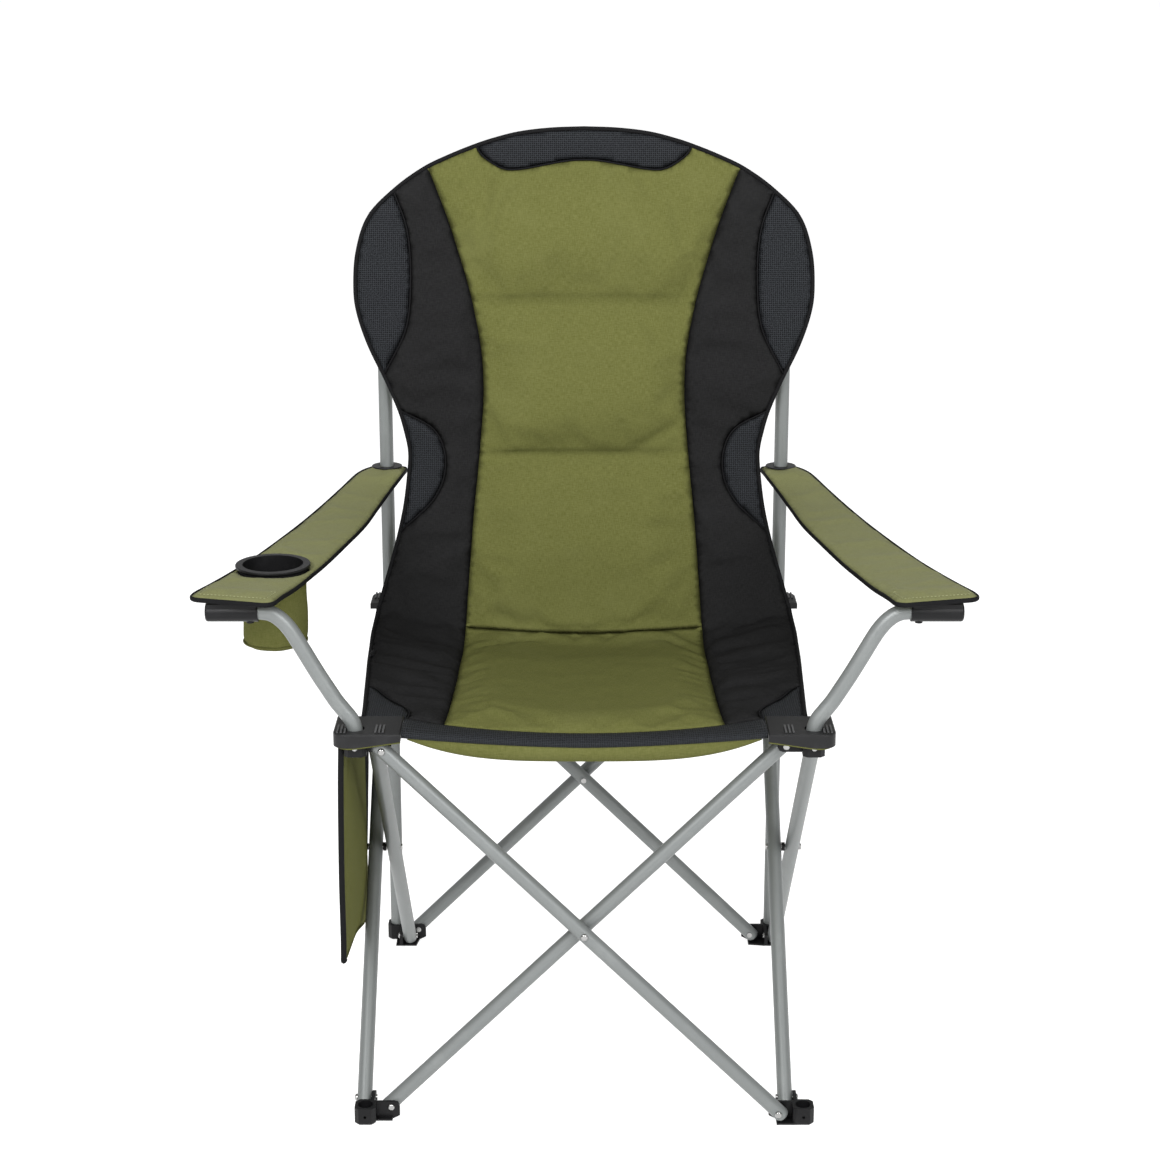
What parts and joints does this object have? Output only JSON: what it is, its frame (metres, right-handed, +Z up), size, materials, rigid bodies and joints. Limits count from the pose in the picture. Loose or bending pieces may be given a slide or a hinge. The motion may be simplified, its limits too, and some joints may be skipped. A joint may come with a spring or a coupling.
{
  "type": "folding camp chair",
  "caption": "Folding camp chair with scissor legs, bent arm posts, a padded sling seat and back, a cup holder and a side pocket.",
  "frame": {"origin": "on the floor, under the middle of the whole chair's box", "axes": "+Z up; the chair faces -Y; +X is to the right for someone who faces the chair"},
  "size_m": [0.834, 0.5448, 1.061],
  "materials": {
    "tube_paint": "satin powder coat",
    "rivet_steel": "bright",
    "black_plastic": "matte",
    "grey_plastic": "satin",
    "green_cloth": "woven polyester",
    "black_cloth": "woven polyester",
    "black_mesh": "spacer mesh"
  },
  "bodies": {
    "rear_left": {"foot_rear_left": "black_plastic", "foot_rivets_rear_left": "rivet_steel", "upright_left": "tube_paint", "back_centre_pad": "green_cloth", "back_side_left": "black_cloth", "back_side_right": "black_cloth", "back_mesh_inserts": "black_mesh", "back_upright_sleeves": "black_cloth"},
    "back_outer": {"leg_back_outer": "tube_paint", "cross_rivet_back": "rivet_steel", "cross_spacer_back": "black_plastic"},
    "back_inner": {"leg_back_inner": "tube_paint"},
    "rear_right": {"foot_rear_right": "black_plastic", "foot_rivets_rear_right": "rivet_steel", "upright_right": "tube_paint"},
    "left_slider": {"slider_left": "black_plastic", "slider_rivets_left": "rivet_steel", "seat_cap_rear_left": "grey_plastic", "arm_eyelet_left": "black_plastic", "side_pocket": "green_cloth"},
    "right_slider": {"slider_right": "black_plastic", "slider_rivets_right": "rivet_steel", "seat_cap_rear_right": "grey_plastic", "arm_eyelet_right": "black_plastic"},
    "left_inner": {"leg_left_inner": "tube_paint", "cross_rivet_left": "rivet_steel", "cross_spacer_left": "black_plastic"},
    "left_outer": {"leg_left_outer": "tube_paint"},
    "front_left": {"foot_front_left": "black_plastic", "foot_rivets_front_left": "rivet_steel"},
    "left_corner": {"bracket_left": "black_plastic", "bracket_rivets_left": "rivet_steel", "seat_cap_front_left": "black_plastic", "arm_post_left": "tube_paint", "arm_sleeve_left": "black_plastic", "arm_pad_left": "green_cloth", "cup_ring": "grey_plastic", "cup_pouch": "green_cloth"},
    "right_outer": {"leg_right_outer": "tube_paint", "cross_rivet_right": "rivet_steel", "cross_spacer_right": "black_plastic"},
    "right_inner": {"leg_right_inner": "tube_paint"},
    "front_right": {"foot_front_right": "black_plastic", "foot_rivets_front_right": "rivet_steel"},
    "right_corner": {"bracket_right": "black_plastic", "bracket_rivets_right": "rivet_steel", "seat_cap_front_right": "black_plastic", "arm_post_right": "tube_paint", "arm_sleeve_right": "black_plastic", "arm_pad_right": "green_cloth"},
    "front_inner": {"leg_front_inner": "tube_paint", "cross_rivet_front": "rivet_steel", "cross_spacer_front": "black_plastic"},
    "front_outer": {"leg_front_outer": "tube_paint"},
    "seat_rear": {"seat_rear_pad": "green_cloth", "seat_rear_sides": "black_cloth"},
    "seat_front": {"seat_front_pad": "green_cloth", "seat_front_sides": "black_cloth", "seat_front_band": "black_mesh", "seat_front_roll": "green_cloth"}
  },
  "joints": [
    {"name": "fold", "type": "hinge", "parent": "rear_left", "child": "back_outer", "pos_m": [-0.2183, 0.2568, 0.0144], "axis": [0, -1, 0], "range_deg": [0, 39], "deforming": ["back_centre_pad", "back_side_left", "back_side_right", "back_mesh_inserts", "back_upright_sleeves", "side_pocket", "arm_pad_left", "arm_pad_right", "cup_pouch", "seat_rear_pad", "seat_rear_sides", "seat_front_pad", "seat_front_sides", "seat_front_band", "seat_front_roll"]},
    {"name": "back_cross", "type": "hinge", "parent": "back_outer", "child": "back_inner", "pos_m": [0, 0.2568, 0.23125], "axis": [0, 1, 0], "range_deg": [0, 78.01]},
    {"name": "rear_right_foot_pivot", "type": "hinge", "parent": "back_inner", "child": "rear_right", "pos_m": [0.2183, 0.2568, 0.0144], "axis": [0, -1, 0], "range_deg": [0, 39]},
    {"name": "left_slider_pivot", "type": "hinge", "parent": "back_inner", "child": "left_slider", "pos_m": [-0.2183, 0.2568, 0.4481], "axis": [0, -1, 0], "range_deg": [0, 39]},
    {"name": "right_slider_pivot", "type": "hinge", "parent": "back_outer", "child": "right_slider", "pos_m": [0.2183, 0.2568, 0.4481], "axis": [0, 1, 0], "range_deg": [0, 39]},
    {"name": "left_rear_foot_pivot", "type": "hinge", "parent": "rear_left", "child": "left_inner", "pos_m": [-0.2468, 0.2283, 0.0144], "axis": [-1, 0, 0], "range_deg": [0, 39]},
    {"name": "left_cross", "type": "hinge", "parent": "left_inner", "child": "left_outer", "pos_m": [-0.2468, 0.01, 0.23125], "axis": [1, 0, 0], "range_deg": [0, 78.01]},
    {"name": "front_left_foot_pivot", "type": "hinge", "parent": "left_outer", "child": "front_left", "pos_m": [-0.2468, -0.2083, 0.0144], "axis": [-1, 0, 0], "range_deg": [0, 39]},
    {"name": "left_corner_pivot", "type": "hinge", "parent": "left_inner", "child": "left_corner", "pos_m": [-0.2468, -0.2083, 0.4481], "axis": [1, 0, 0], "range_deg": [0, 39]},
    {"name": "right_rear_foot_pivot", "type": "hinge", "parent": "rear_right", "child": "right_outer", "pos_m": [0.2468, 0.2283, 0.0144], "axis": [-1, 0, 0], "range_deg": [0, 39]},
    {"name": "right_cross", "type": "hinge", "parent": "right_outer", "child": "right_inner", "pos_m": [0.2468, 0.01, 0.23125], "axis": [1, 0, 0], "range_deg": [0, 78.01]},
    {"name": "front_right_foot_pivot", "type": "hinge", "parent": "right_inner", "child": "front_right", "pos_m": [0.2468, -0.2083, 0.0144], "axis": [-1, 0, 0], "range_deg": [0, 39]},
    {"name": "right_corner_pivot", "type": "hinge", "parent": "right_outer", "child": "right_corner", "pos_m": [0.2468, -0.2083, 0.4481], "axis": [1, 0, 0], "range_deg": [0, 39]},
    {"name": "front_left_leg_pivot", "type": "hinge", "parent": "front_left", "child": "front_inner", "pos_m": [-0.2183, -0.2368, 0.0144], "axis": [0, -1, 0], "range_deg": [0, 39]},
    {"name": "front_cross", "type": "hinge", "parent": "front_inner", "child": "front_outer", "pos_m": [0, -0.2368, 0.23125], "axis": [0, 1, 0], "range_deg": [0, 78.01]},
    {"name": "seat_rear_drop", "type": "hinge", "parent": "rear_left", "child": "seat_rear", "pos_m": [0, 0.198, 0.438], "axis": [1, 0, 0], "range_deg": [0, 60.46]},
    {"name": "seat_front_fold", "type": "hinge", "parent": "seat_rear", "child": "seat_front", "pos_m": [0, 0.07, 0.429], "axis": [-1, 0, 0], "range_deg": [0, 139.46]}
  ],
  "couplings": [
    {"joint": "back_cross", "follows": "fold", "ratio": 2},
    {"joint": "rear_right_foot_pivot", "follows": "fold", "ratio": 1},
    {"joint": "left_slider_pivot", "follows": "fold", "ratio": 1},
    {"joint": "right_slider_pivot", "follows": "fold", "ratio": 1},
    {"joint": "left_rear_foot_pivot", "follows": "fold", "ratio": 1},
    {"joint": "left_cross", "follows": "fold", "ratio": 2},
    {"joint": "front_left_foot_pivot", "follows": "fold", "ratio": 1},
    {"joint": "left_corner_pivot", "follows": "fold", "ratio": 1},
    {"joint": "right_rear_foot_pivot", "follows": "fold", "ratio": 1},
    {"joint": "right_cross", "follows": "fold", "ratio": 2},
    {"joint": "front_right_foot_pivot", "follows": "fold", "ratio": 1},
    {"joint": "right_corner_pivot", "follows": "fold", "ratio": 1},
    {"joint": "front_left_leg_pivot", "follows": "fold", "ratio": 1},
    {"joint": "front_cross", "follows": "fold", "ratio": 2},
    {"joint": "seat_rear_drop", "follows": "fold", "ratio": 1.55},
    {"joint": "seat_front_fold", "follows": "fold", "ratio": 3.5756}
  ]
}
